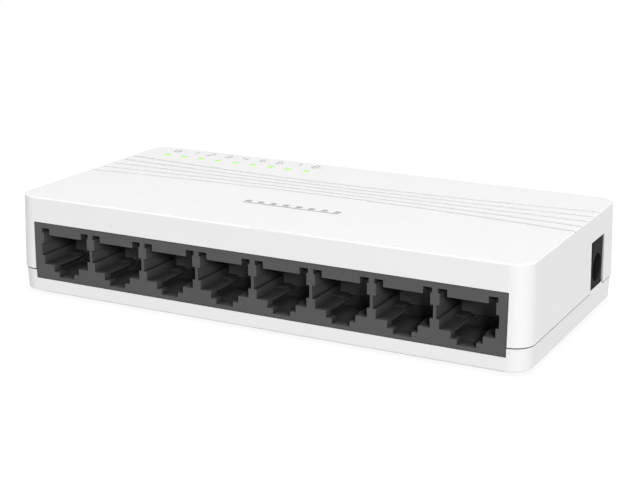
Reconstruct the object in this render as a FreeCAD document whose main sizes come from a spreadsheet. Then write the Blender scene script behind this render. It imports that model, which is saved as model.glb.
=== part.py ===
import FreeCAD, Part
import math
import os
import re
import Sketcher

# An eight-port desktop network switch in millimetres.  +Z is up and z = 0 is the underside of
# the rubber feet.  x = 0 and y = 0 are the middle of the case, the sockets face -Y and the power
# inlet faces +X.  The circuit board lies on top of the sockets, so the sockets hang from it.

# Heights named *_level, *_low, *_high and case_height are measured from a datum at foot_height
# above z = 0, and depths named *_depth from the case's front face.  The case's underside is
# underside_drop below the datum.
SIZES = {
    # case
    "case_width": 124.2,
    "case_depth": 60.4,
    "case_height": 22.0,
    "case_wall": 1.8,
    "case_draft": 1.2,
    "roof_thick": 2.0,
    "floor_thick": 1.8,
    "corner_radius": 4.5,
    "edge_radius": 0.3,
    "hem_radius": 0.35,
    "underside_drop": 0.3,
    "seam_level": 4.88,
    "seam_gap": 0.3,
    "cover_overhang": 0.15,
    "lip_thick": 0.9,
    "lip_level": 7.4,
    "lip_reach": 44.0,
    "snap_width": 9.0,
    "snap_depth": 0.4,
    "snap_level": 6.2,
    # window in the front wall
    "window_middle": 0.32,
    "window_width": 114.8,
    "window_low": 2.8,
    "window_high": 16.2,
    # window in the right wall
    "power_middle": 15.3,
    "power_width": 9.4,
    "power_high": 16.4,
    "tongue_level": 5.35,
    # grooves across the top
    "groove_middle": 7.6,
    "groove_pitch": 2.7,
    "groove_width": 1.0,
    "groove_deep": 0.5,
    "groove_sagitta": 1.75,
    # marks sunk in the top
    "mark_depth": 0.16,
    "ink_thick": 0.08,
    "mark_stroke": 0.32,
    "digit_width": 1.5,
    "digit_height": 2.4,
    "digit_y": 25.2,
    "emblem_x": -0.4,
    "emblem_y": -11.1,
    "emblem_pitch": 3.2,
    "emblem_square": 1.4,
    # vents in the floor
    "vent_first_x": -39.2,
    "vent_pitch": 4.05,
    "vent_width": 1.5,
    "vent_front_y": -4.0,
    "vent_length": 20.0,
    # feet
    "foot_height": 1.0,
    "foot_radius": 4.0,
    "foot_sunk": 0.5,
    "foot_edge": 0.3,
    "foot_x": 52.0,
    "foot_y": 22.0,
    # circuit board and its posts
    "board_level": 16.4,
    "board_thick": 1.6,
    "board_width": 118.0,
    "board_front_depth": 2.6,
    "board_back_depth": 57.4,
    "board_corner": 1.5,
    "post_radius": 2.3,
    "post_x": 54.0,
    "post_front_y": -3.7,
    "post_back_y": 25.0,
    "screw_radius": 1.0,
    "screw_length": 6.0,
    "screw_head_radius": 1.8,
    "screw_head_height": 1.2,
    # sockets
    "port_pitch": 13.97,
    "port_recess": 0.3,
    "housing_width": 114.5,
    "housing_level": 2.9,
    "shoulder_level": 16.1,
    "shoulder_depth": 2.3,
    "housing_back_depth": 21.6,
    "cavity_back_depth": 12.2,
    "plug_half": 6.0,
    "plug_floor": 6.35,
    "plug_roof": 13.42,
    "side_half": 6.68,
    "side_low": 8.42,
    "side_high": 11.33,
    "notch_inner": 4.37,
    "notch_outer": 6.37,
    "notch_low": 13.88,
    "notch_high": 14.92,
    "step_half": 3.42,
    "step_level": 4.81,
    "step_depth": 2.7,
    "latch_half": 2.08,
    "latch_level": 3.67,
    "latch_depth": 3.5,
    "channel_half": 3.1,
    "channel_level": 3.97,
    "undercut_half": 5.3,
    "undercut_level": 5.9,
    "stop_inner": 3.66,
    "stop_depth": 9.4,
    "stop_height": 0.5,
    "stop_root": 0.3,
    "peg_radius": 0.9,
    "peg_depth": 10.0,
    # contacts
    "contact_pitch": 1.02,
    "contact_thick": 0.35,
    "contact_top": 15.55,
    "contact_front_depth": 2.9,
    "contact_split": 14.7,
    "contact_gap": 0.06,
    "blade_start": 14.2,
    "blade_slope": 0.41,
    "blade_end_depth": 11.35,
    "tail_near_depth": 14.6,
    "tail_far_depth": 17.14,
    "tail_out": 0.8,
    "tail_hole_radius": 0.35,
    "slot_half": 4.3,
    "slot_level": 15.8,
    "slot_depth": 2.3,
    # indicator lights
    "light_pitch": 5.03,
    "light_first_x": -53.9,
    "light_y": 21.4,
    "light_width": 1.3,
    "light_length": 1.8,
    "pipe_low": 18.95,
    "pipe_depth": 2.6,
    "pipe_end": 1.5,
    "carrier_width": 1.25,
    "carrier_length": 2.0,
    "carrier_thick": 0.3,
    "lens_width": 1.2,
    "lens_length": 1.3,
    "lens_thick": 0.5,
    "lens_draft": 8.0,
    # power inlet
    "jack_width": 9.2,
    "jack_face_width": 7.4,
    "jack_level": 5.45,
    "jack_face_x": 61.85,
    "jack_length": 14.4,
    "jack_band": 0.25,
    "bore_level": 9.8,
    "bore_radius": 3.15,
    "bore_end_x": 51.0,
    "pin_radius": 1.05,
    "pin_root_radius": 1.3,
    "pin_tip_x": 59.2,
    "pin_nose": 0.4,
    "tab_thick": 0.6,
    "leaf_half": 1.5,
    "leaf_slot_deep": 1.5,
    "leaf_thick": 0.3,
    "leaf_x": 49.2,
    "leaf_level": 14.5,
    "leaf_drop": 2.0,
    "leaf_low_x": 57.4,
    "leaf_tip_x": 59.4,
    "leaf_gap": 0.1,
    # ribs under the sockets
    "rib_inset": 2.0,
    "rib_thick": 1.0,
    "rib_first": 5.0,
    "rib_second": 13.5,
    "rib_third": 19.0,
    # slots in the screw heads
    "screw_spare": 0.5,
    "slot_length": 2.0,
    "slot_width": 0.4,
    "slot_deep": 0.6,
    # board parts
    "chip_chamfer": 0.2,
    "can_base": 0.6,
    "can_lip": 0.3,
    "can_edge": 0.5,
    "can_neck": 0.25,
    "inductor_side": 6.0,
    "crystal_length": 10.4,
    "crystal_width": 4.0,
    "crystal_height": 3.0,
    "flange_edge": 0.4,
    "flange_thick": 0.5,
    # general clearances
    "clearance": 0.1,
    "fit_gap": 0.03,
}
PORTS = 8
LIGHTS = PORTS + 1
CONTACTS = 8
VENTS = 20

NEAR = 0.01  # positions closer than this count as the same
UPRIGHT = 0.97  # an edge's least upward part when it counts as upright
THROUGH = 1.5  # openings are cut this many times the thickness of their wall
BAR_GAP = 0.7  # the bars of a digit stop this many strokes short of its corners

# A digit is made of up to seven bars between the points of a grid that is one digit wide and
# two half heights high.  Each bar is (first column, first row, last column, last row).
BARS = {
    "a": (0, 2, 1, 2),
    "b": (1, 1, 1, 2),
    "c": (1, 0, 1, 1),
    "d": (0, 0, 1, 0),
    "e": (0, 0, 0, 1),
    "f": (0, 1, 0, 2),
    "g": (0, 1, 1, 1),
}
DIGITS = ["bc", "abdeg", "abcdg", "bcfg", "acdfg", "acdefg", "abc", "abcdefg"]

FRONT = "-case_depth / 2"
UNDERSIDE = "(foot_height - underside_drop)"
SEAM = "foot_height + seam_level"
ROOF = "foot_height + case_height - roof_thick"
FLOOR = "foot_height + floor_thick"
BOARD = "foot_height + board_level"
BOARD_TOP = "foot_height + board_level + board_thick"
HALF_INSIDE_X = "(case_width / 2 - case_wall)"
HALF_INSIDE_Y = "(case_depth / 2 - case_wall)"
PORT_ONE = "window_middle - port_pitch * 3.5"

doc = FreeCAD.newDocument("network_switch")
sheet = doc.addObject("Spreadsheet::Sheet", "sizes")
for row, (alias, value) in enumerate(SIZES.items(), start=1):
    sheet.set(f"A{row}", alias)
    sheet.set(f"B{row}", str(value))
    sheet.setAlias(f"B{row}", alias)
doc.recompute()

PARTS = []


def bound(formula):
    """A formula with every size name turned into a reference to the sheet."""
    text = str(formula)
    return re.sub(r"[a-z][a-z_0-9]+", lambda w: "sizes." + w[0] if w[0] in SIZES else w[0], text)


def level(name):
    """Height above z = 0 of a size that is measured from the datum."""
    return f"foot_height + {name}"


def at_depth(name):
    """Y of a size that is measured back from the front face."""
    return f"{FRONT} + {name}"


# ---- sketches and features -------------------------------------------------------------------


def new_body(label):
    """A sub-part made with PartDesign."""
    body = doc.addObject("PartDesign::Body", label)
    PARTS.append(body)
    return body


def origin_item(body, role):
    """One of a body's own origin planes or axes."""
    return next(item for item in body.Origin.OriginFeatures if item.Role == role)


def new_sketch(body, role, offset="0"):
    """An empty sketch parallel to an origin plane, moved along that plane's normal."""
    sketch = body.newObject("Sketcher::SketchObject", body.Name + "_sketch")
    sketch.AttachmentSupport = [(origin_item(body, role), "")]
    sketch.MapMode = "FlatFace"
    sketch.setExpression("AttachmentOffset.Base.z", bound(offset))
    return sketch


def bind(sketch, constraint, formula):
    """Add a dimension whose value is a formula."""
    index = sketch.addConstraint(constraint)
    sketch.renameConstraint(index, f"size_{index}")
    sketch.setExpression(f"Constraints.size_{index}", bound(formula))


def outline(sketch, corners):
    """Close a polygon through corners given as pairs of formulas."""
    count = len(corners)
    first = sketch.GeometryCount
    turn = 2 * math.pi / count
    loose = [FreeCAD.Vector(9 * math.cos(turn * i), 9 * math.sin(turn * i), 0) for i in range(count)]
    for i in range(count):
        sketch.addGeometry(Part.LineSegment(loose[i], loose[(i + 1) % count]), False)
    for i, corner in enumerate(corners):
        after = first + (i + 1) % count
        sketch.addConstraint(Sketcher.Constraint("Coincident", first + i, 2, after, 1))
        for axis, formula in zip("XY", corner):
            bind(sketch, Sketcher.Constraint("Distance" + axis, first + i, 1, 1.0), formula)


def rectangle(sketch, left, right, low, high):
    """Close a rectangle between four formulas."""
    outline(sketch, [(left, low), (right, low), (right, high), (left, high)])


def centred(sketch, width, length):
    """Close a rectangle round the sketch's origin."""
    rectangle(
        sketch, f"-({width}) / 2", f"({width}) / 2", f"-({length}) / 2", f"({length}) / 2"
    )


def mirrored_outline(sketch, half, centre="0"):
    """Close a shape that is the same on both sides of a line, from its right-hand corners."""
    right = [(f"{centre} + {across}", up) for across, up in half]
    left = [(f"{centre} - ({across})", up) for across, up in reversed(half)]
    outline(sketch, right + left)


def circle(sketch, x, y, radius):
    """A circle with its centre and radius given as formulas."""
    index = sketch.addGeometry(
        Part.Circle(FreeCAD.Vector(1, 1, 0), FreeCAD.Vector(0, 0, 1), 1.0), False
    )
    bind(sketch, Sketcher.Constraint("DistanceX", index, 3, 1.0), x)
    bind(sketch, Sketcher.Constraint("DistanceY", index, 3, 1.0), y)
    bind(sketch, Sketcher.Constraint("Radius", index, 1.0), radius)


def extrude(body, sketch, length, kind="Pad", flip=False, taper=None):
    """Pad or pocket a sketch, and check that it added or removed material."""
    before = body.Tip.Shape.Volume if body.Tip else 0.0
    feature = body.newObject("PartDesign::" + kind, body.Name + "_" + kind.lower())
    feature.Profile = sketch
    feature.Reversed = flip
    feature.setExpression("Length", bound(length))
    if taper:
        feature.setExpression("TaperAngle", bound(taper))
    doc.recompute()
    change = feature.Shape.Volume - before
    if change * (1 if kind == "Pad" else -1) < 1e-6:
        raise RuntimeError(f"{feature.Name} changes the volume by {change}")
    return feature


def pad(body, sketch, length, flip=False, taper=None):
    return extrude(body, sketch, length, "Pad", flip, taper)


def pocket(body, sketch, length, flip=False, taper=None):
    return extrude(body, sketch, length, "Pocket", flip, taper)


def repeat(body, features, role, spacing, count):
    """Repeat features along one of the body's origin axes."""
    before = body.Tip.Shape.Volume
    pattern = body.newObject("PartDesign::LinearPattern", body.Name + "_row")
    pattern.Originals = features
    pattern.Direction = (origin_item(body, role), [""])
    pattern.Mode = "Spacing"
    pattern.setExpression("Offset", bound(spacing))
    pattern.Occurrences = count
    body.Tip = pattern
    doc.recompute()
    if abs(pattern.Shape.Volume - before) < 1e-6:
        raise RuntimeError(f"{pattern.Name} repeats nothing")
    return pattern


def edges_where(shape, test):
    """Names of the edges whose middle point and direction pass a test."""
    names = []
    for number, edge in enumerate(shape.Edges, start=1):
        first, last = edge.ParameterRange
        middle = edge.valueAt((first + last) / 2)
        along = edge.tangentAt((first + last) / 2)
        if test(middle, along, edge):
            names.append(f"Edge{number}")
    return names


def round_edges(body, test, radius, kind="Fillet"):
    """Fillet or chamfer the edges that pass a test."""
    base = body.Tip
    names = edges_where(base.Shape, test)
    if not names:
        raise RuntimeError(f"{body.Name} has no such edge")
    feature = body.newObject("PartDesign::" + kind, body.Name + "_" + kind.lower())
    feature.Base = (base, names)
    feature.setExpression("Radius" if kind == "Fillet" else "Size", bound(radius))
    doc.recompute()
    return feature


def upright():
    """A test for edges that stand nearly upright."""
    return lambda middle, along, edge: abs(along.z) > UPRIGHT


def place(item, x="0", y="0", z="0"):
    """Bind the position of a sub-part to formulas."""
    for axis, formula in zip("xyz", (x, y, z)):
        item.setExpression("Placement.Base." + axis, bound(formula))


# ---- case ------------------------------------------------------------------------------------


def top_shell(body):
    """The hollow upper shell, which narrows upwards."""
    start = f"{SEAM} + seam_gap / 2"
    outer = new_sketch(body, "XY_Plane", start)
    corners = [("case_width / 2", "-case_depth / 2"), ("case_width / 2", "case_depth / 2")]
    mirrored_outline(outer, corners)
    pad(body, outer, f"{level('case_height')} - ({start})", taper="-case_draft")
    round_edges(body, upright(), "corner_radius")
    top = SIZES["foot_height"] + SIZES["case_height"]
    round_edges(body, lambda m, t, e: m.z > top - NEAR, "edge_radius")
    inner = new_sketch(body, "XY_Plane", start)
    mirrored_outline(
        inner, [(HALF_INSIDE_X, f"-{HALF_INSIDE_Y}"), (HALF_INSIDE_X, HALF_INSIDE_Y)]
    )
    pocket(body, inner, f"{ROOF} - ({start})", flip=True, taper="-case_draft")
    inside = SIZES["case_width"] / 2 - SIZES["case_wall"] / 2
    round_edges(
        body,
        lambda m, t, e: abs(t.z) > UPRIGHT and inside - 4 < abs(m.x) < inside,
        "corner_radius - case_wall",
    )


def top_openings(body):
    """The socket window, the inlet window and the nine light windows."""
    front = new_sketch(body, "XZ_Plane", "case_depth / 2")
    rectangle(
        front,
        "window_middle - window_width / 2",
        "window_middle + window_width / 2",
        SEAM,
        level("window_high"),
    )
    pocket(body, front, f"case_wall * {THROUGH}")
    right = new_sketch(body, "YZ_Plane", "case_width / 2")
    rectangle(
        right,
        "power_middle - power_width / 2",
        "power_middle + power_width / 2",
        SEAM,
        level("power_high"),
    )
    pocket(body, right, f"case_wall * {THROUGH}")
    light = new_sketch(body, "XY_Plane", level("case_height"))
    rectangle(
        light,
        "light_first_x - light_width / 2",
        "light_first_x + light_width / 2",
        "light_y - light_length / 2",
        "light_y + light_length / 2",
    )
    window = pocket(body, light, f"roof_thick * {THROUGH}")
    repeat(body, [window], "X_Axis", "light_pitch", LIGHTS)


def groove_profile(sketch, middle):
    """The section of a groove: a flat bottom with sloping sides, open above the roof."""
    top = level("case_height")
    mirrored_outline(
        sketch,
        [
            ("groove_width / 4", f"{top} - groove_deep"),
            ("groove_width / 2", top),
            ("groove_width * 0.75", f"{top} + groove_deep"),
        ],
        middle,
    )


def straight_groove(body):
    """The middle groove across the top."""
    sketch = new_sketch(body, "YZ_Plane", "-case_width / 2 - 1")
    groove_profile(sketch, "groove_middle")
    pocket(body, sketch, "case_width + 2", flip=True)


def curved_groove(body, number):
    """A groove that follows a large circle: two bend backwards and two forwards.

    number is -2, -1, 1 or 2, counted from the middle groove towards the back.
    """
    side = 1 if number > 0 else -1
    sagitta = f"({abs(number)} * groove_sagitta)"
    radius = f"((case_width ^ 2 / 4 + {sagitta} ^ 2) / (2 * {sagitta}))"
    middle = f"(groove_middle + {number} * groove_pitch)"
    profile = new_sketch(body, "YZ_Plane")
    groove_profile(profile, middle)
    axis = profile.addGeometry(
        Part.LineSegment(FreeCAD.Vector(1, 0, 0), FreeCAD.Vector(1, 5, 0)), True
    )
    profile.addConstraint(Sketcher.Constraint("Vertical", axis))
    bind(profile, Sketcher.Constraint("DistanceX", axis, 1, 1.0), f"{middle} + {side} * {radius}")
    bind(profile, Sketcher.Constraint("DistanceY", axis, 1, 1.0), "1")
    bind(profile, Sketcher.Constraint("DistanceY", axis, 1, axis, 2, 1.0), "5")
    before = body.Tip.Shape.Volume
    groove = body.newObject("PartDesign::Groove", body.Name + "_groove")
    groove.Profile = profile
    groove.ReferenceAxis = (profile, ["Axis0"])
    groove.Midplane = True
    groove.setExpression("Angle", bound(f"360 / 3.14 * case_width / {radius} * 0.55"))
    doc.recompute()
    if before - groove.Shape.Volume < 1:
        raise RuntimeError("a groove cuts nothing")


def power_sign(sketch):
    """A squared power sign behind the first light: a cup with a bar in its mouth."""
    half = "(digit_width / 2 + mark_stroke / 2)"
    rim = "digit_y + digit_height * 0.8"
    corners = [
        (half, "digit_y"),
        (half, rim),
        (f"{half} - mark_stroke", rim),
        (f"{half} - mark_stroke", "digit_y + mark_stroke"),
    ]
    mirrored_outline(sketch, corners, "light_first_x")
    rectangle(
        sketch,
        "light_first_x - mark_stroke / 2",
        "light_first_x + mark_stroke / 2",
        "digit_y + digit_height / 2",
        "digit_y + digit_height",
    )


def digit(sketch, number):
    """The port's number behind its light, in bars with small gaps between them."""
    middle = f"light_first_x + {number} * light_pitch"
    for letter in DIGITS[number - 1]:
        first_x, first_y, last_x, last_y = BARS[letter]
        inset_x = BAR_GAP if last_x > first_x else -1 / 2
        inset_y = BAR_GAP if last_y > first_y else -1 / 2
        rectangle(
            sketch,
            f"{middle} + {first_x - 1 / 2} * digit_width + {inset_x} * mark_stroke",
            f"{middle} + {last_x - 1 / 2} * digit_width - {inset_x} * mark_stroke",
            f"digit_y + {first_y / 2} * digit_height + {inset_y} * mark_stroke",
            f"digit_y + {last_y / 2} * digit_height - {inset_y} * mark_stroke",
        )


def emblem(sketch):
    """Eight squares in a row above a line: one for each port."""
    for number in range(PORTS):
        middle = f"emblem_x + {number - (PORTS - 1) / 2} * emblem_pitch"
        rectangle(
            sketch,
            f"{middle} - emblem_square / 2",
            f"{middle} + emblem_square / 2",
            "emblem_y",
            "emblem_y + emblem_square",
        )
    half = f"({PORTS - 1} * emblem_pitch + emblem_square) / 2"
    rectangle(
        sketch,
        f"emblem_x - {half}",
        f"emblem_x + {half}",
        "emblem_y - 2.5 * mark_stroke",
        "emblem_y - mark_stroke",
    )


def mark_sketches(body, height):
    """Sketches of all the marks on the top, at a height."""
    sketches = [new_sketch(body, "XY_Plane", height) for i in range(LIGHTS + 1)]
    power_sign(sketches[0])
    for number in range(1, PORTS + 1):
        digit(sketches[number], number)
    emblem(sketches[LIGHTS])
    return sketches


def top_recesses(body):
    """Shallow recesses for the marks."""
    for sketch in mark_sketches(body, level("case_height")):
        pocket(body, sketch, "mark_depth")


def snap_beads(body):
    """Small beads inside the walls that click into the bottom cover's lips."""
    low = f"({level('snap_level')})"
    half = "snap_width / 2"
    for side in (-1, 1):
        sketch = new_sketch(body, "XY_Plane", low)
        edge = f"{side} * {HALF_INSIDE_X}"
        rectangle(sketch, f"{edge} - {side} * snap_depth", f"{edge} + {side} * 0.5", f"-{half}", half)
        pad(body, sketch, "snap_depth * 1.5")
    sketch = new_sketch(body, "XY_Plane", low)
    for side in (-1, 1):
        middle = f"{side} * lip_reach * 0.6"
        rectangle(
            sketch,
            f"{middle} - {half}",
            f"{middle} + {half}",
            f"{HALF_INSIDE_Y} - snap_depth",
            f"{HALF_INSIDE_Y} + 0.5",
        )
    pad(body, sketch, "snap_depth * 1.5")


def make_top_cover():
    body = new_body("top_cover")
    top_shell(body)
    top_openings(body)
    straight_groove(body)
    for number in (-2, -1, 1, 2):
        curved_groove(body, number)
    snap_beads(body)
    top_recesses(body)


def make_top_marks():
    """The paint in the recesses, a little below the surface."""
    body = new_body("top_marks")
    for sketch in mark_sketches(body, f"{level('case_height')} - mark_depth"):
        pad(body, sketch, "ink_thick")


def bottom_shell(body):
    """The tray below the seam, which narrows downwards."""
    rim = f"{SEAM} - seam_gap / 2"
    outer = new_sketch(body, "XY_Plane", rim)
    half_x = "(case_width / 2 - cover_overhang)"
    half_y = "(case_depth / 2 - cover_overhang)"
    mirrored_outline(outer, [(half_x, f"-{half_y}"), (half_x, half_y)])
    pad(body, outer, f"{rim} - {UNDERSIDE}", flip=True, taper="-case_draft * 2")
    round_edges(body, upright(), "corner_radius")
    bottom = SIZES["foot_height"] - SIZES["underside_drop"]
    round_edges(body, lambda m, t, e: m.z < bottom + NEAR, "hem_radius")
    inner = new_sketch(body, "XY_Plane", rim)
    inner_x = f"({half_x} - case_wall)"
    inner_y = f"({half_y} - case_wall)"
    mirrored_outline(inner, [(inner_x, f"-{inner_y}"), (inner_x, inner_y)])
    pocket(body, inner, f"{rim} - ({FLOOR})")


def bottom_openings(body):
    """The lower part of the socket window, foot seats and floor vents."""
    front = new_sketch(body, "XZ_Plane", "case_depth / 2")
    rectangle(
        front,
        "window_middle - window_width / 2 + clearance",
        "window_middle + window_width / 2 - clearance",
        level("window_low"),
        f"{SEAM} + 1",
    )
    pocket(body, front, f"case_wall * {THROUGH}")
    seats = new_sketch(body, "XY_Plane", UNDERSIDE)
    for side_x in (-1, 1):
        for side_y in (-1, 1):
            circle(seats, f"{side_x} * foot_x", f"{side_y} * foot_y", "foot_radius + clearance")
    pocket(body, seats, "underside_drop + foot_sunk", flip=True)
    vent = new_sketch(body, "XY_Plane", UNDERSIDE)
    rectangle(
        vent, "vent_first_x", "vent_first_x + vent_width", "vent_front_y", "vent_front_y + vent_length"
    )
    slot = pocket(body, vent, f"(underside_drop + floor_thick) * {THROUGH}", flip=True)
    repeat(body, [slot], "X_Axis", "vent_pitch", VENTS)


def bottom_lips(body):
    """Lips that stand inside the top cover's walls, with recesses for its beads."""
    outer_x = f"({HALF_INSIDE_X} - 2 * clearance)"
    outer_y = f"({HALF_INSIDE_Y} - 2 * clearance)"
    sketch = new_sketch(body, "XY_Plane", FLOOR)
    for side in (-1, 1):
        rectangle(
            sketch,
            f"{side} * {outer_x}",
            f"{side} * ({outer_x} - lip_thick)",
            "-case_depth / 2 * 0.6",
            "snap_width",
        )
    rectangle(sketch, "-lip_reach", "lip_reach", f"{outer_y} - lip_thick", outer_y)
    pad(body, sketch, f"{level('lip_level')} - ({FLOOR})")
    low = f"({level('snap_level')} - clearance)"
    half = "(snap_width / 2 + clearance)"
    sketch = new_sketch(body, "XY_Plane", low)
    for side in (-1, 1):
        inner = f"{side} * ({HALF_INSIDE_X} - snap_depth - clearance)"
        rectangle(sketch, inner, f"{side} * {HALF_INSIDE_X}", f"-{half}", half)
        middle = f"{side} * lip_reach * 0.6"
        rectangle(
            sketch,
            f"{middle} - {half}",
            f"{middle} + {half}",
            f"{HALF_INSIDE_Y} - snap_depth - clearance",
            HALF_INSIDE_Y,
        )
    pocket(body, sketch, "snap_depth * 1.5 + 2 * clearance", flip=True)


def bottom_supports(body):
    """Board posts with screw holes, ribs under the sockets and the tongue under the inlet."""
    posts = new_sketch(body, "XY_Plane", FLOOR)
    holes = new_sketch(body, "XY_Plane", BOARD)
    for side in (-1, 1):
        for y in ("post_front_y", "post_back_y"):
            circle(posts, f"{side} * post_x", y, "post_radius")
            circle(holes, f"{side} * post_x", y, "screw_radius + fit_gap")
    pad(body, posts, f"{BOARD} - ({FLOOR})")
    pocket(body, holes, "screw_length")
    ribs = new_sketch(body, "XY_Plane", FLOOR)
    rib_half = "(window_width / 2 - rib_inset)"
    for depth in ("rib_first", "rib_second", "rib_third"):
        rectangle(
            ribs,
            f"window_middle - {rib_half}",
            f"window_middle + {rib_half}",
            f"{FRONT} + {depth}",
            f"{FRONT} + {depth} + rib_thick",
        )
    pad(body, ribs, f"{level('housing_level')} - ({FLOOR})")
    tongue_root = f"{SEAM} - 2 * seam_gap"
    tongue = new_sketch(body, "XY_Plane", tongue_root)
    rectangle(
        tongue,
        "case_width / 2 - cover_overhang - case_wall",
        "case_width / 2 - cover_overhang",
        "power_middle - power_width / 2 + fit_gap",
        "power_middle + power_width / 2 - fit_gap",
    )
    pad(body, tongue, f"{level('tongue_level')} - ({tongue_root})")


def make_bottom_cover():
    body = new_body("bottom_cover")
    bottom_shell(body)
    bottom_openings(body)
    bottom_lips(body)
    bottom_supports(body)


def make_feet():
    """Four rubber feet, each sunk a little into the floor."""
    number = 0
    for side_y in (-1, 1):
        for side_x in (-1, 1):
            number += 1
            body = new_body(f"rubber_foot_{number}")
            sketch = new_sketch(body, "XY_Plane")
            circle(sketch, "0", "0", "foot_radius")
            pad(body, sketch, "foot_height + foot_sunk")
            round_edges(body, lambda m, t, e: m.z < NEAR, "foot_edge")
            place(body, f"{side_x} * foot_x", f"{side_y} * foot_y")


# ---- circuit board ---------------------------------------------------------------------------


def make_circuit_board():
    """The board, with holes for screws, housing pegs, contact tails and inlet terminals."""
    body = new_body("circuit_board")
    plate = new_sketch(body, "XY_Plane", BOARD)
    rectangle(
        plate,
        "-board_width / 2",
        "board_width / 2",
        at_depth("board_front_depth"),
        at_depth("board_back_depth"),
    )
    pad(body, plate, "board_thick")
    round_edges(body, upright(), "board_corner")
    holes = new_sketch(body, "XY_Plane", BOARD)
    for side in (-1, 1):
        for y in ("post_front_y", "post_back_y"):
            circle(holes, f"{side} * post_x", y, "screw_radius + clearance")
        peg_x = f"window_middle + {side} * 3 * port_pitch"
        circle(holes, peg_x, at_depth("peg_depth"), "peg_radius + clearance")
    pocket(body, holes, "board_thick", flip=True)
    for depth, start in (("tail_near_depth", 0), ("tail_far_depth", 1)):
        port = new_sketch(body, "XY_Plane", BOARD)
        for contact in range(start, CONTACTS, 2):
            x = f"{PORT_ONE} + {contact - 3.5} * contact_pitch"
            circle(port, x, f"{at_depth(depth)} + contact_thick / 2", "tail_hole_radius")
        row = pocket(body, port, "board_thick", flip=True)
        repeat(body, [row], "X_Axis", "port_pitch", PORTS)
    tabs = new_sketch(body, "XY_Plane", BOARD)
    for x in ("leaf_x + leaf_thick / 2", "jack_face_x - jack_length - 1 + tab_thick / 2"):
        rectangle(
            tabs,
            f"{x} - tab_thick / 2 - clearance",
            f"{x} + tab_thick / 2 + clearance",
            "power_middle - leaf_half - clearance",
            "power_middle + leaf_half + clearance",
        )
    pocket(body, tabs, "board_thick", flip=True)


def make_board_screws():
    """Four pan-head screws, one node."""
    body = new_body("board_screws")
    heads = new_sketch(body, "XY_Plane", BOARD_TOP)
    shanks = new_sketch(body, "XY_Plane", BOARD_TOP)
    slots = new_sketch(body, "XY_Plane", f"{BOARD_TOP} + screw_head_height")
    for side in (-1, 1):
        for y in ("post_front_y", "post_back_y"):
            x = f"{side} * post_x"
            circle(heads, x, y, "screw_head_radius")
            circle(shanks, x, y, "screw_radius")
            rectangle(
                slots,
                f"{x} - slot_length / 2",
                f"{x} + slot_length / 2",
                f"{y} - slot_width / 2",
                f"{y} + slot_width / 2",
            )
    pad(body, heads, "screw_head_height")
    pad(body, shanks, "screw_length + board_thick - screw_spare", flip=True)
    pocket(body, slots, "slot_deep")


# ---- sockets ---------------------------------------------------------------------------------


def housing_block(body):
    """The block that all eight sockets are moulded in, with pegs for the board."""
    face = new_sketch(body, "XZ_Plane", "case_depth / 2 - port_recess")
    rectangle(
        face,
        "window_middle - housing_width / 2",
        "window_middle + housing_width / 2",
        level("housing_level"),
        BOARD,
    )
    pad(body, face, "housing_back_depth - port_recess", flip=True)
    shoulder = new_sketch(body, "XZ_Plane", "case_depth / 2 - port_recess")
    rectangle(
        shoulder, "-case_width / 2", "case_width / 2", level("shoulder_level"), f"{BOARD} + 1"
    )
    pocket(body, shoulder, "shoulder_depth - port_recess")
    pegs = new_sketch(body, "XY_Plane", f"{BOARD} - 0.5")
    for side in (-1, 1):
        circle(pegs, f"window_middle + {side} * 3 * port_pitch", at_depth("peg_depth"), "peg_radius")
    pad(body, pegs, "board_thick + 1")


def front_pocket(body, half, depth):
    """Cut a shape, given by its right-hand corners, from the face to a depth in the first port."""
    sketch = new_sketch(body, "XZ_Plane", "case_depth / 2 - port_recess")
    mirrored_outline(sketch, half, PORT_ONE)
    return pocket(body, sketch, f"{depth} - port_recess")


def port_cavity(body):
    """The opening for the plug in the first port: body, side recesses and top notches."""
    corners = [
        ("plug_half", level("plug_floor")),
        ("plug_half", level("side_low")),
        ("side_half", level("side_low")),
        ("side_half", level("side_high")),
        ("plug_half", level("side_high")),
        ("plug_half", level("notch_low")),
        ("notch_outer", level("notch_low")),
        ("notch_outer", level("notch_high")),
        ("notch_inner", level("notch_high")),
        ("notch_inner", level("plug_roof")),
    ]
    return front_pocket(body, corners, "cavity_back_depth")


def port_steps(body):
    """The stepped slot under the plug that takes its latch, wider below the plug's floor."""
    over = f"{level('plug_floor')} + 0.3"
    step = front_pocket(
        body, [("step_half", level("step_level")), ("step_half", over)], "step_depth"
    )
    latch = front_pocket(
        body, [("latch_half", level("latch_level")), ("latch_half", over)], "latch_depth"
    )
    features = [step, latch]
    for half, top in (("channel_half", over), ("undercut_half", level("undercut_level"))):
        channel = new_sketch(body, "XZ_Plane", "case_depth / 2 - step_depth")
        mirrored_outline(channel, [(half, level("channel_level")), (half, top)], PORT_ONE)
        features.append(pocket(body, channel, "cavity_back_depth - step_depth"))
    return features


def port_back(body):
    """The bay for the contact insert, and the slot above the plug for the contacts."""
    bay = new_sketch(body, "XZ_Plane", "case_depth / 2 - cavity_back_depth + 0.2")
    mirrored_outline(
        bay, [("plug_half", level("plug_floor")), ("plug_half", level("slot_level"))], PORT_ONE
    )
    slot = new_sketch(body, "XZ_Plane", "case_depth / 2 - slot_depth")
    low = f"{level('plug_roof')} - 0.2"
    mirrored_outline(slot, [("slot_half", low), ("slot_half", level("slot_level"))], PORT_ONE)
    vent = new_sketch(body, "XY_Plane", BOARD)
    rectangle(
        vent,
        f"{PORT_ONE} - slot_half",
        f"{PORT_ONE} + slot_half",
        at_depth("tail_near_depth - 0.5"),
        at_depth("tail_far_depth + 1"),
    )
    return [
        pocket(body, bay, "housing_back_depth - cavity_back_depth + 1"),
        pocket(body, slot, "cavity_back_depth - slot_depth"),
        pocket(body, vent, "1"),
    ]


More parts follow.
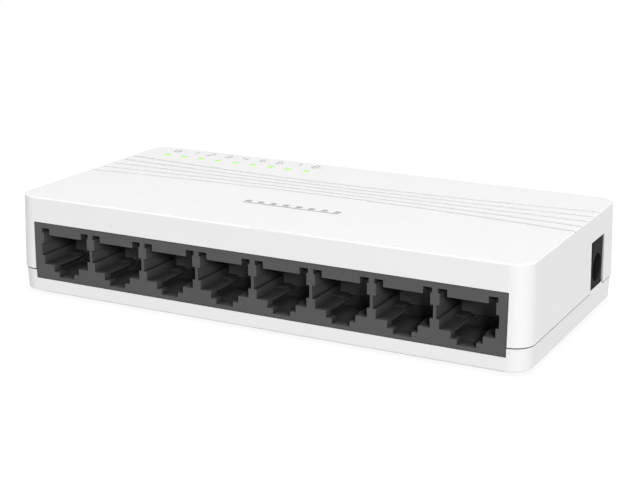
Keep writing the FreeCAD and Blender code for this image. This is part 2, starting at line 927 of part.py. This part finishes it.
def port_stops(body):
    """Blocks on the floor that stop the plug, one each side of the latch channel."""
    sketch = new_sketch(body, "XZ_Plane", "case_depth / 2 - stop_depth")
    for side in (-1, 1):
        rectangle(
            sketch,
            f"{PORT_ONE} + {side} * stop_inner",
            f"{PORT_ONE} + {side} * (plug_half + stop_root)",
            f"{level('plug_floor')} - stop_root",
            f"{level('plug_floor')} + stop_height",
        )
    return pad(body, sketch, "cavity_back_depth - stop_depth", flip=True)


def make_port_housing():
    body = new_body("port_housing")
    housing_block(body)
    features = [port_cavity(body)] + port_steps(body) + port_back(body) + [port_stops(body)]
    repeat(body, features, "X_Axis", "port_pitch", PORTS)


def make_contact_inserts():
    """Eight inserts that close the backs of the sockets and guide the contacts, one node."""
    body = new_body("contact_inserts")
    back = new_sketch(body, "XZ_Plane", "case_depth / 2 - cavity_back_depth")
    mirrored_outline(
        back,
        [
            ("plug_half - clearance", f"{level('plug_floor')} + clearance"),
            ("plug_half - clearance", f"{level('contact_top')} - contact_thick - clearance"),
        ],
        PORT_ONE,
    )
    block = pad(body, back, "tail_near_depth - cavity_back_depth - 2 * clearance", flip=True)
    tongue = new_sketch(body, "XZ_Plane", "case_depth / 2 - contact_front_depth - contact_thick - 0.2")
    mirrored_outline(
        tongue,
        [
            ("slot_half - clearance", f"{level('contact_top')} - contact_thick - 0.9"),
            ("slot_half - clearance", f"{level('contact_top')} - contact_thick - clearance"),
        ],
        PORT_ONE,
    )
    bar = pad(body, tongue, "cavity_back_depth - contact_front_depth", flip=True)
    repeat(body, [block, bar], "X_Axis", "port_pitch", PORTS)


def first_contact_plane(contact):
    """Offset along X of the near side of a contact, from the middle of its socket."""
    return f"{contact - (CONTACTS - 1) / 2} * contact_pitch - contact_thick / 2"


def make_contact_tails(port):
    """The fixed halves of a socket's contacts, which run back and up through the board."""
    body = new_body(f"port_{port}_contact_tails")
    front = at_depth("contact_front_depth")
    run = level("contact_top")
    split = f"{level('contact_split')} + contact_gap"
    for depth, start in (("tail_near_depth", 0), ("tail_far_depth", 1)):
        back = at_depth(depth)
        sketch = new_sketch(body, "YZ_Plane", first_contact_plane(start))
        corners = [
            (front, split),
            (front, run),
            (back, run),
            (back, f"{BOARD_TOP} + tail_out"),
            (f"{back} + contact_thick", f"{BOARD_TOP} + tail_out"),
            (f"{back} + contact_thick", f"{run} - contact_thick"),
            (f"{front} + contact_thick", f"{run} - contact_thick"),
            (f"{front} + contact_thick", split),
        ]
        outline(sketch, corners)
        tail = pad(body, sketch, "contact_thick")
        repeat(body, [tail], "X_Axis", "2 * contact_pitch", CONTACTS // 2)
    place(body, f"{PORT_ONE} + {port - 1} * port_pitch")


def make_contact_springs(port):
    """The springy halves of a socket's contacts, which slope back over the plug."""
    body = new_body(f"port_{port}_contact_springs")
    front = at_depth("contact_front_depth")
    inner = f"{front} + contact_thick"
    split = f"{level('contact_split')} - contact_gap"
    start = level("blade_start")
    drop = "blade_slope * (blade_end_depth - contact_front_depth - contact_thick)"
    upright_thick = "contact_thick * sqrt(1 + blade_slope ^ 2)"
    sketch = new_sketch(body, "YZ_Plane", first_contact_plane(0))
    corners = [
        (front, split),
        (inner, split),
        (inner, start),
        (at_depth("blade_end_depth"), f"{start} - {drop}"),
        (at_depth("blade_end_depth"), f"{start} - {drop} - {upright_thick}"),
        (front, f"{start} + blade_slope * contact_thick - {upright_thick}"),
    ]
    outline(sketch, corners)
    spring = pad(body, sketch, "contact_thick")
    repeat(body, [spring], "X_Axis", "contact_pitch", CONTACTS)
    place(body, f"{PORT_ONE} + {port - 1} * port_pitch")


# ---- indicator lights ------------------------------------------------------------------------


def make_light_pipe():
    """A clear bar with nine pegs that reach up through the roof."""
    body = new_body("light_pipe")
    bar = new_sketch(body, "XY_Plane", level("pipe_low"))
    rectangle(
        bar,
        "light_first_x - pipe_end",
        f"light_first_x + {LIGHTS - 1} * light_pitch + pipe_end",
        "light_y - pipe_depth / 2",
        "light_y + pipe_depth / 2",
    )
    pad(body, bar, f"{ROOF} - fit_gap - ({level('pipe_low')})")
    peg = new_sketch(body, "XY_Plane", level("pipe_low"))
    rectangle(
        peg,
        "light_first_x - light_width / 2 + fit_gap",
        "light_first_x + light_width / 2 - fit_gap",
        "light_y - light_length / 2 + fit_gap",
        "light_y + light_length / 2 - fit_gap",
    )
    top = pad(body, peg, "case_height - pipe_low - fit_gap")
    repeat(body, [top], "X_Axis", "light_pitch", LIGHTS)


def make_light(number):
    """One indicator chip on the upper face of the board: a carrier with a lens on it."""
    label = "power_led" if number == 0 else f"port_{number}_led"
    body = new_body(label)
    carrier = new_sketch(body, "XY_Plane")
    centred(carrier, "carrier_width", "carrier_length")
    pad(body, carrier, "carrier_thick")
    lens = new_sketch(body, "XY_Plane", "carrier_thick")
    centred(lens, "lens_width", "lens_length")
    pad(body, lens, "lens_thick", taper="-lens_draft")
    place(body, f"light_first_x + {number} * light_pitch", "light_y", BOARD_TOP)


# ---- power inlet -----------------------------------------------------------------------------


def jack_span(body, offset):
    """An empty sketch that looks along -X at a plane of the inlet."""
    return new_sketch(body, "YZ_Plane", offset)


def make_jack_housing():
    """The inlet's moulded body, with its bore, side bands and the slot for the leaf spring."""
    body = new_body("dc_jack_housing")
    face = jack_span(body, "jack_face_x")
    rectangle(
        face,
        "power_middle - jack_width / 2",
        "power_middle + jack_width / 2",
        level("jack_level"),
        BOARD,
    )
    pad(body, face, "jack_length", flip=True)
    bands = jack_span(body, "jack_face_x")
    for side in (-1, 1):
        rectangle(
            bands,
            f"power_middle + {side} * jack_face_width / 2",
            f"power_middle + {side} * (jack_width / 2 + 1)",
            "foot_height",
            f"{BOARD} + 1",
        )
    pocket(body, bands, "jack_band")
    bore = jack_span(body, "jack_face_x")
    circle(bore, "power_middle", level("bore_level"), "bore_radius")
    pocket(body, bore, "jack_face_x - bore_end_x")
    root = jack_span(body, "bore_end_x")
    circle(root, "power_middle", level("bore_level"), "pin_root_radius + fit_gap")
    pocket(body, root, "jack_length")
    slot = new_sketch(body, "XZ_Plane", "-power_middle - leaf_half - clearance")
    rectangle(
        slot,
        "leaf_x - clearance * 3",
        "leaf_tip_x + 0.8",
        f"{level('bore_level')} + 2",
        f"{level('leaf_level')} + 1.1",
    )
    pocket(body, slot, "2 * (leaf_half + clearance)", flip=True)
    gap = new_sketch(body, "XY_Plane", BOARD)
    rectangle(
        gap,
        "leaf_x - clearance * 3",
        "leaf_x + leaf_thick + clearance * 3",
        "power_middle - leaf_half - clearance",
        "power_middle + leaf_half + clearance",
    )
    pocket(body, gap, "leaf_slot_deep")


def make_jack_pin():
    """The inlet's centre pin, with its root in the back wall and a tab up through the board."""
    body = new_body("dc_jack_pin")
    back = "jack_face_x - jack_length - 1"
    sketch = new_sketch(body, "XZ_Plane", "-power_middle")
    axis_level = level("bore_level")
    corners = [
        (back, axis_level),
        (back, f"{axis_level} + pin_root_radius"),
        ("bore_end_x", f"{axis_level} + pin_root_radius"),
        ("bore_end_x", f"{axis_level} + pin_radius"),
        ("pin_tip_x - pin_nose", f"{axis_level} + pin_radius"),
        ("pin_tip_x", f"{axis_level} + pin_radius - pin_nose"),
        ("pin_tip_x", axis_level),
    ]
    outline(sketch, corners)
    pin = body.newObject("PartDesign::Revolution", "dc_jack_pin_revolution")
    pin.Profile = sketch
    pin.ReferenceAxis = (sketch, ["Edge7"])
    pin.Angle = 360
    doc.recompute()
    tab = jack_span(body, back)
    rectangle(
        tab,
        "power_middle - leaf_half",
        "power_middle + leaf_half",
        f"{axis_level} - pin_root_radius",
        f"{BOARD_TOP} + tail_out",
    )
    pad(body, tab, "tab_thick")


def make_jack_terminal():
    """The fixed end of the leaf spring, which goes up through the board."""
    body = new_body("dc_jack_terminal")
    sketch = new_sketch(body, "XY_Plane", f"{level('leaf_level')} + leaf_gap")
    rectangle(
        sketch,
        "leaf_x",
        "leaf_x + leaf_thick",
        "power_middle - leaf_half",
        "power_middle + leaf_half",
    )
    pad(body, sketch, "board_level + board_thick + tail_out - leaf_level - leaf_gap")


def make_jack_spring():
    """The leaf that presses on the plug's sleeve: it slopes down to a low point and up again."""
    body = new_body("dc_jack_spring")
    top = level("leaf_level")
    low = f"{top} - leaf_drop"
    sketch = new_sketch(body, "XZ_Plane", "-power_middle - leaf_half")
    corners = [
        ("leaf_x", top),
        ("leaf_x", f"{top} - leaf_thick"),
        ("leaf_low_x", low),
        ("leaf_tip_x", f"{low} + 0.8"),
        ("leaf_tip_x", f"{low} + 0.8 + leaf_thick * 1.1"),
        ("leaf_low_x", f"{low} + leaf_thick"),
        ("leaf_x + leaf_thick", top),
    ]
    outline(sketch, corners)
    pad(body, sketch, "2 * leaf_half")


# ---- parts on the board ----------------------------------------------------------------------


# Length, width and height of each kind of part, and the pitch of the usual legs.
TRANSFORMER_SIZE = (16.0, 9.0, 5.0)
SWITCH_CHIP_SIZE = (14.0, 14.0, 1.4)
MEMORY_CHIP_SIZE = (5.0, 4.0, 1.5)
REGULATOR_SIZE = (6.5, 3.6, 1.7)
CHIP_CAPACITOR_SIZE = (1.6, 0.8, 0.8)
CHIP_RESISTOR_SIZE = (1.6, 0.8, 0.5)
CAN_RADIUS = 3.15
CAN_HEIGHT = 7.7
SOIC_PITCH = 1.27

# A leg's width and thickness, its start inside the block, its knee and its full reach.
LEG_WIDTH = 0.3
LEG_THICK = 0.15
LEG_ROOT = 0.05
LEG_KNEE = 0.55
LEG_REACH = 1.1


def legs(body, side_name, half_wide, body_high, count, pitch):
    """Gull-wing legs along two opposite sides of a chip that hangs under the board."""
    other = {"YZ_Plane": "X_Axis", "XZ_Plane": "Y_Axis"}[side_name]
    sign = {"YZ_Plane": 1, "XZ_Plane": -1}[side_name]
    start = sign * (-(count - 1) / 2 * pitch) - LEG_WIDTH / 2
    sketch = new_sketch(body, side_name, str(start))
    for side in (-1, 1):
        corners = [
            (side * (half_wide - LEG_ROOT), -body_high / 2),
            (side * (half_wide + LEG_KNEE), -body_high / 2),
            (side * (half_wide + LEG_KNEE), -LEG_THICK),
            (side * (half_wide + LEG_REACH), -LEG_THICK),
            (side * (half_wide + LEG_REACH), 0),
            (side * (half_wide + LEG_KNEE - LEG_THICK), 0),
            (side * (half_wide + LEG_KNEE - LEG_THICK), -body_high / 2 + LEG_THICK),
            (side * (half_wide - LEG_ROOT), -body_high / 2 + LEG_THICK),
        ]
        outline(sketch, corners)
    leg = pad(body, sketch, str(LEG_WIDTH))
    repeat(body, [leg], other, str(pitch), count)


def make_chip(label, where, size, rows):
    """A moulded chip under the board: its block, a chamfer all round, and rows of legs."""
    x, y = where
    long, wide, high = size
    body = new_body(label)
    block = new_sketch(body, "XY_Plane", "-clearance")
    centred(block, long, wide)
    pad(body, block, high, flip=True)
    round_edges(body, lambda m, t, e: m.z < NEAR - high, "chip_chamfer", "Chamfer")
    for side_name, half_wide, count, pitch in rows:
        legs(body, side_name, half_wide, high, count, pitch)
    place(body, x, y, BOARD)


def make_can(label, x, y, radius, high):
    """A can capacitor on a square base, hanging under the board."""
    body = new_body(label)
    base = new_sketch(body, "XY_Plane")
    centred(base, f"2 * {radius} + can_lip", f"2 * {radius} + can_lip")
    pad(body, base, "can_base", flip=True)
    can = new_sketch(body, "XY_Plane", "-can_base")
    circle(can, "0", "0", radius)
    pad(body, can, high, flip=True)
    bottom = NEAR - SIZES["can_base"] - high
    round_edges(body, lambda m, t, e: m.z < bottom, "can_edge")
    neck = new_sketch(body, "XY_Plane", "-2.5 * can_base")
    circle(neck, "0", "0", radius + 1)
    circle(neck, "0", "0", f"{radius} - can_neck")
    pocket(body, neck, "can_edge")
    place(body, x, y, BOARD)


def make_chip_group(label, places, long, wide, high):
    """Small two-ended chips under the board, one node."""
    body = new_body(label)
    sketch = new_sketch(body, "XY_Plane", BOARD)
    for x, y in places:
        rectangle(sketch, x - long / 2, x + long / 2, y - wide / 2, y + wide / 2)
    pad(body, sketch, high, flip=True)


def make_inductor():
    """A square moulded power inductor."""
    body = new_body("power_inductor")
    block = new_sketch(body, "XY_Plane")
    centred(block, "inductor_side", "inductor_side")
    pad(body, block, "inductor_side / 2", flip=True)
    round_edges(body, upright(), "inductor_side / 5", "Chamfer")
    place(body, "37", "15", BOARD)


def make_crystal():
    """A flat metal crystal can."""
    body = new_body("crystal")
    flange = new_sketch(body, "XY_Plane")
    centred(flange, "crystal_length + 2 * flange_edge", "crystal_width + 2 * flange_edge")
    pad(body, flange, "flange_thick", flip=True)
    can = new_sketch(body, "XY_Plane", "-flange_thick")
    centred(can, "crystal_length", "crystal_width")
    pad(body, can, "crystal_height", flip=True)
    low = -SIZES["flange_thick"] - NEAR
    round_edges(body, lambda m, t, e: abs(t.z) > UPRIGHT and m.z < low, "crystal_width / 2 - clearance")
    place(body, "13", "19", BOARD)


def make_board_parts():
    """Everything soldered under the board between the sockets and the back wall."""
    for number in range(4):
        make_chip(
            f"transformer_{number + 1}",
            (f"window_middle + {2 * number - 3} * port_pitch", "0.5"),
            TRANSFORMER_SIZE,
            [("YZ_Plane", TRANSFORMER_SIZE[1] / 2, 12, SOIC_PITCH)],
        )
    make_chip(
        "switch_chip",
        ("-6", "16"),
        SWITCH_CHIP_SIZE,
        [(side, SWITCH_CHIP_SIZE[0] / 2, 24, 0.5) for side in ("YZ_Plane", "XZ_Plane")],
    )
    long, wide, high = MEMORY_CHIP_SIZE
    make_chip("memory_chip", ("-25", "13"), (long, wide, high), [("YZ_Plane", wide / 2, 4, SOIC_PITCH)])
    long, wide, high = REGULATOR_SIZE
    make_chip("regulator_chip", ("27", "14"), (long, wide, high), [("YZ_Plane", wide / 2, 3, 2.3)])
    make_crystal()
    make_inductor()
    make_can("capacitor_1", "38", "23", CAN_RADIUS, CAN_HEIGHT)
    make_can("capacitor_2", "-38", "15", CAN_RADIUS, CAN_HEIGHT)
    make_chip_group("chip_capacitors", [(x, 25.5) for x in range(-30, 31, 6)], *CHIP_CAPACITOR_SIZE)
    make_chip_group("chip_resistors", [(x, 7.1) for x in range(-45, 46, 5)], *CHIP_RESISTOR_SIZE)


# ---- build and write -------------------------------------------------------------------------


def build():
    """Make every sub-part."""
    make_top_cover()
    make_top_marks()
    make_bottom_cover()
    make_feet()
    make_circuit_board()
    make_board_screws()
    make_port_housing()
    make_contact_inserts()
    for port in range(1, PORTS + 1):
        make_contact_tails(port)
        make_contact_springs(port)
    make_light_pipe()
    for number in range(LIGHTS):
        make_light(number)
    make_jack_housing()
    make_jack_pin()
    make_jack_terminal()
    make_jack_spring()
    make_board_parts()


def check():
    """Stop if any feature failed or any sub-part is empty or invalid."""
    doc.recompute()
    failed = [item.Name for item in doc.Objects if {"Invalid", "Error"} & set(item.State)]
    if failed:
        raise RuntimeError(f"failed objects: {failed}")
    for part in PARTS:
        if part.Shape.isNull() or not part.Shape.isValid():
            raise RuntimeError(f"{part.Label} has no valid shape")


def write():
    """Write one STEP file for each sub-part."""
    os.makedirs("parts", exist_ok=True)
    for part in PARTS:
        part.Shape.exportStep(f"parts/{part.Label}.step")
    print(f"{len(PARTS)} sub-parts written")


build()
check()
write()
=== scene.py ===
import math

import bpy
from mathutils import Matrix, Vector

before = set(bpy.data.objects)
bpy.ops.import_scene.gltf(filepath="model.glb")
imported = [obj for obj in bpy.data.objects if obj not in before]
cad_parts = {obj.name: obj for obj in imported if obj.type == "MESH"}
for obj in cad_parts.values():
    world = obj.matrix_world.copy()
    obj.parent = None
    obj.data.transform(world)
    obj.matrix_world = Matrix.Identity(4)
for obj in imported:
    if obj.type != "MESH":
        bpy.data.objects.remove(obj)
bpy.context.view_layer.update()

MM = 0.001
PORTS = range(1, 9)
FEET = range(1, 5)
TRANSFORMERS = range(1, 5)
LIGHTS = ["power_led"] + [f"port_{number}_led" for number in PORTS]

# ---- camera, light and floor -----------------------------------------------------------------

CAMERA_PLACE = Vector((146.81, -283.02, 103.64)) * MM
CAMERA_TURN = -0.47547
CAMERA_PITCH = 0.27785
CAMERA_ROLL = 0.00124
CAMERA_LENS = 81.08
SENSOR_WIDTH = 36.0
SKY_STRENGTH = 0.17
TOP_LIGHT = {"place": (0, 0, 2.4), "size": 1.0, "power": 66}
CORNER_LIGHT = {"place": (1.34, -1.71, 0.95), "size": 0.55, "power": 43}
LIGHT_AIM = Vector((0, 0, 10)) * MM

FLOOR_SIZE = 6
FLOOR_GREY = 0.08
FLOOR_GLOW = 0.9
FLOOR_DROP = 0.02 * MM

# A darker patch of floor as painted shadow under the case, hidden by the case except for a thin line
# below its front edges.
SHADOW_PATCH_HALF = (60.4 * MM, 28.0 * MM)
SHADOW_PATCH_CORNER = 4.5 * MM
SHADOW_PATCH_GREY = 0.5
SHADOW_PATCH_LEVEL = 0.01 * MM
CORNER_STEPS = 6


def make_camera():
    """A long lens at the front right of the case, looking slightly down."""
    data = bpy.data.cameras.new("camera")
    data.lens = CAMERA_LENS
    data.sensor_width = SENSOR_WIDTH
    data.clip_start = 10 * MM
    camera = bpy.data.objects.new("camera", data)
    bpy.context.collection.objects.link(camera)
    across = math.cos(CAMERA_PITCH)
    ahead = Vector(
        (math.sin(CAMERA_TURN) * across, math.cos(CAMERA_TURN) * across, -math.sin(CAMERA_PITCH))
    )
    level = Vector((math.cos(CAMERA_TURN), -math.sin(CAMERA_TURN), 0))
    upward = level.cross(ahead)
    right = math.cos(CAMERA_ROLL) * level + math.sin(CAMERA_ROLL) * upward
    top = right.cross(ahead)
    turn = Matrix((right, top, -ahead)).transposed().to_4x4()
    camera.matrix_world = Matrix.Translation(CAMERA_PLACE) @ turn
    bpy.context.scene.camera = camera


def make_area_light(name, place, size, power):
    """A square soft light aimed at the middle of the case."""
    data = bpy.data.lights.new(name, "AREA")
    data.size = size
    data.energy = power
    light = bpy.data.objects.new(name, data)
    bpy.context.collection.objects.link(light)
    light.location = place
    light.rotation_euler = (LIGHT_AIM - light.location).to_track_quat("-Z", "Y").to_euler()


def matt(name, grey, rough=1.0):
    """A plain matt material of the stage, and its shader."""
    material, shader = new_material(name)
    shader.inputs["Base Color"].default_value = (grey, grey, grey, 1)
    shader.inputs["Roughness"].default_value = rough
    shader.inputs["Specular IOR Level"].default_value = 0.0
    return material, shader


def make_floor():
    """A pale sheet lit from below, so that the case throws hardly any shadow on it."""
    bpy.ops.mesh.primitive_plane_add(size=FLOOR_SIZE)
    floor = bpy.context.object
    floor.name = "floor"
    floor.location.z = -FLOOR_DROP
    material, shader = matt("floor_sheet", FLOOR_GREY, 0.9)
    shader.inputs["Emission Color"].default_value = (1, 1, 1, 1)
    shader.inputs["Emission Strength"].default_value = FLOOR_GLOW
    floor.data.materials.append(material)


def make_painted_shadow():
    """Painted shadow: the darker patch of floor under the case, a rectangle with round corners."""
    outline = []
    for step in range(4 * CORNER_STEPS):
        angle = 2 * math.pi * (step + 0.5) / (4 * CORNER_STEPS)
        x = math.copysign(SHADOW_PATCH_HALF[0] - SHADOW_PATCH_CORNER, math.cos(angle)) + SHADOW_PATCH_CORNER * math.cos(angle)
        y = math.copysign(SHADOW_PATCH_HALF[1] - SHADOW_PATCH_CORNER, math.sin(angle)) + SHADOW_PATCH_CORNER * math.sin(angle)
        outline.append((x, y, 0))
    mesh = bpy.data.meshes.new("painted_shadow_card")
    mesh.from_pydata(outline, [], [list(range(len(outline)))])
    mesh.materials.append(matt("painted_shadow_card_matt", SHADOW_PATCH_GREY)[0])
    card = bpy.data.objects.new("painted_shadow_card", mesh)
    bpy.context.collection.objects.link(card)
    card.location.z = SHADOW_PATCH_LEVEL


def make_studio():
    """Pale surroundings, a soft light overhead and one at the front corner."""
    world = bpy.data.worlds.new("studio")
    bpy.context.scene.world = world
    world.use_nodes = True
    background = world.node_tree.nodes["Background"]
    background.inputs["Color"].default_value = (1, 1, 1, 1)
    background.inputs["Strength"].default_value = SKY_STRENGTH
    make_area_light("top_light", **TOP_LIGHT)
    make_area_light("corner_light", **CORNER_LIGHT)
    # Painted shadow: a darker card on the floor under the case.
    make_painted_shadow()
    make_floor()
    bpy.context.scene.view_settings.view_transform = "Standard"


# ---- materials -------------------------------------------------------------------------------

FINE_EDGE = 0.05 * MM
CASE_WHITE = (0.68, 0.68, 0.68)
PORT_GREY = (0.07, 0.07, 0.07)
INSERT_BLACK = (0.085, 0.085, 0.085)
INLET_BLACK = (0.022, 0.022, 0.022)
MARK_GREY = (0.32, 0.33, 0.34)
RUBBER_BLACK = (0.05, 0.05, 0.05)
BOARD_GREEN = (0.02, 0.16, 0.06)
CHIP_BLACK = (0.02, 0.02, 0.022)
FERRITE_BROWN = (0.12, 0.1, 0.08)
CONTACT_GOLD = (0.83, 0.62, 0.28)
PIN_NICKEL = (0.7, 0.69, 0.66)
SCREW_ZINC = (0.62, 0.64, 0.66)
CAN_GREY = (0.75, 0.75, 0.76)
GLOW_BODY = (0.12, 0.25, 0.06)
GLOW_EDGE = (0.26, 0.75, 0.05)
GLOW_MIDDLE = (0.56, 0.85, 0.26)
GLOW_STRENGTH = 0.95


def new_material(name):
    """A node material and its main shader."""
    material = bpy.data.materials.new(name)
    material.use_nodes = True
    return material, material.node_tree.nodes["Principled BSDF"]


def add_node(material, kind, **settings):
    """A new node with some of its settings."""
    node = material.node_tree.nodes.new(kind)
    for key, value in settings.items():
        setattr(node, key, value)
    return node


def join(material, start, end):
    material.node_tree.links.new(start, end)


def noise(material, size, detail=2.0, stretch=(1, 1, 1)):
    """Noise whose features are about size metres across, in the object's own frame."""
    place = add_node(material, "ShaderNodeTexCoord").outputs["Object"]
    mapping = add_node(material, "ShaderNodeMapping")
    mapping.inputs["Scale"].default_value = stretch
    join(material, place, mapping.inputs["Vector"])
    node = add_node(material, "ShaderNodeTexNoise")
    join(material, mapping.outputs["Vector"], node.inputs["Vector"])
    node.inputs["Scale"].default_value = 1 / size
    node.inputs["Detail"].default_value = detail
    return node.outputs["Fac"]


def spread(material, value, low, high):
    """Noise moved to the range low to high."""
    node = add_node(material, "ShaderNodeMapRange")
    join(material, value, node.inputs["Value"])
    node.inputs["From Min"].default_value = 0.3
    node.inputs["From Max"].default_value = 0.7
    node.inputs["To Min"].default_value = low
    node.inputs["To Max"].default_value = high
    return node.outputs["Result"]


def blend(material, factor, first, second, span=(0.3, 0.7)):
    """A ramp from one colour to another over part of the factor's range."""
    node = add_node(material, "ShaderNodeValToRGB")
    node.color_ramp.elements[0].position = span[0]
    node.color_ramp.elements[1].position = span[1]
    node.color_ramp.elements[0].color = (*first, 1)
    node.color_ramp.elements[1].color = (*second, 1)
    join(material, factor, node.inputs["Fac"])
    return node.outputs["Color"]


def add_grain(material, shader, height, depth, edge=0.0):
    """Relief from a height value, over edges that look slightly rounded."""
    bump = add_node(material, "ShaderNodeBump")
    bump.inputs["Distance"].default_value = depth
    join(material, height, bump.inputs["Height"])
    if edge:
        soft = add_node(material, "ShaderNodeBevel", samples=4)
        soft.inputs["Radius"].default_value = edge
        join(material, soft.outputs["Normal"], bump.inputs["Normal"])
    join(material, bump.outputs["Normal"], shader.inputs["Normal"])


def shade_hollows(material, tone, reach, dark):
    """Painted shade: a tone that darkens where the surface is less than reach from a facing one."""
    near = add_node(material, "ShaderNodeAmbientOcclusion", samples=8)
    near.inputs["Distance"].default_value = reach
    painted_shade = blend(material, near.outputs["AO"], (dark, dark, dark), (1, 1, 1), (0.4, 0.9))
    mix = add_node(material, "ShaderNodeMix", data_type="RGBA", blend_type="MULTIPLY")
    mix.inputs["Factor"].default_value = 1.0
    join(material, tone, mix.inputs["A"])
    join(material, painted_shade, mix.inputs["B"])
    return mix.outputs["Result"]


def plastic(
    name, colour, rough, grain=0.12 * MM, depth=0.002 * MM, edge=0.0, vary=0.04, painted_hollow_shade=None, shine=0.5
):
    """Moulded plastic: fine grain, and small changes of colour and gloss.

    The painted-shade argument is the reach and the tone of the shade painted into grooves and gaps, and
    shine the strength of the reflections.
    """
    material, shader = new_material(name)
    shader.inputs["Specular IOR Level"].default_value = shine
    darker = [c * (1 - vary) for c in colour]
    lighter = [c * (1 + vary) for c in colour]
    tone = blend(material, noise(material, 9 * MM), darker, lighter)
    # Painted shade: the colour darkens in grooves, gaps and recesses.
    if painted_hollow_shade:
        tone = shade_hollows(material, tone, *painted_hollow_shade)
    join(material, tone, shader.inputs["Base Color"])
    gloss = spread(material, noise(material, 1.5 * MM), rough * 0.92, rough * 1.08)
    join(material, gloss, shader.inputs["Roughness"])
    add_grain(material, shader, noise(material, grain, 3.0), depth, edge)
    return material


def metal(name, colour, rough, stretch=(1, 1, 1)):
    """Plated or rolled metal with faint marks along one direction."""
    material, shader = new_material(name)
    shader.inputs["Metallic"].default_value = 1.0
    dull = [c * 0.82 for c in colour]
    tone = blend(material, noise(material, 0.8 * MM), dull, colour)
    join(material, tone, shader.inputs["Base Color"])
    gloss = spread(material, noise(material, 0.4 * MM), rough * 0.8, rough * 1.2)
    join(material, gloss, shader.inputs["Roughness"])
    add_grain(material, shader, noise(material, 0.15 * MM, 2.0, stretch), 0.001 * MM)
    return material


def give(material, *nodes):
    """Put a material on CAD nodes."""
    for name in nodes:
        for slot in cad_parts[name].material_slots:
            slot.material = material


def paint_plastics():
    # Reach and tone of the painted shade in the case's grooves and seams.
    grooves = (1 * MM, 0.25)
    case = plastic("case_white", CASE_WHITE, 0.35, edge=FINE_EDGE, vary=0.004, painted_hollow_shade=grooves, shine=0.45)
    give(case, "top_cover", "bottom_cover")
    # Painted shade darkens the inside of the port housing's openings.
    socket = plastic("port_grey", PORT_GREY, 0.55, edge=FINE_EDGE, painted_hollow_shade=(6 * MM, 0.4), shine=0.25)
    give(socket, "port_housing")
    give(plastic("insert_black", INSERT_BLACK, 0.6, shine=0.2), "contact_inserts")
    # Painted shade darkens the inside of the inlet.
    inlet = plastic("inlet_black", INLET_BLACK, 0.6, edge=FINE_EDGE, painted_hollow_shade=(6 * MM, 0.15), shine=0.02)
    give(inlet, "dc_jack_housing")
    give(plastic("mark_paint", MARK_GREY, 0.7, vary=0.08), "top_marks")
    rubber = plastic("foot_rubber", RUBBER_BLACK, 0.85, 0.3 * MM, 0.01 * MM)
    give(rubber, *[f"rubber_foot_{number}" for number in FEET])


def paint_lights():
    """A clear pipe and lenses that glow green, paler in patches."""
    for name, nodes in (("lit_pipe", ["light_pipe"]), ("lit_lens", LIGHTS)):
        material = plastic(name, GLOW_BODY, 0.5, shine=0.2)
        shader = material.node_tree.nodes["Principled BSDF"]
        glow = blend(material, noise(material, 1.5 * MM), GLOW_EDGE, GLOW_MIDDLE)
        join(material, glow, shader.inputs["Emission Color"])
        shader.inputs["Emission Strength"].default_value = GLOW_STRENGTH
        give(material, *nodes)


def paint_metals():
    gold = metal("contact_gold", CONTACT_GOLD, 0.3, (1, 0.2, 1))
    give(gold, *[f"port_{number}_contact_tails" for number in PORTS])
    give(gold, *[f"port_{number}_contact_springs" for number in PORTS])
    nickel = metal("pin_nickel", PIN_NICKEL, 0.28, (0.2, 1, 1))
    give(nickel, "dc_jack_pin", "dc_jack_terminal", "dc_jack_spring")
    zinc = metal("screw_zinc", SCREW_ZINC, 0.35)
    give(zinc, "board_screws")
    can = metal("can_aluminium", CAN_GREY, 0.3)
    give(can, "crystal", "capacitor_1", "capacitor_2")


def paint_board():
    laminate = plastic("board_green", BOARD_GREEN, 0.3, 1.5 * MM, 0.01 * MM, vary=0.25)
    give(laminate, "circuit_board")
    moulding = plastic("chip_black", CHIP_BLACK, 0.5, vary=0.15)
    chips = [f"transformer_{number}" for number in TRANSFORMERS]
    give(moulding, "switch_chip", "memory_chip", "regulator_chip", "chip_resistors", *chips)
    ferrite = plastic("ferrite", FERRITE_BROWN, 0.6, 0.2 * MM, 0.01 * MM, vary=0.2)
    give(ferrite, "power_inductor", "chip_capacitors")


make_camera()
make_studio()
paint_plastics()
paint_lights()
paint_metals()
paint_board()
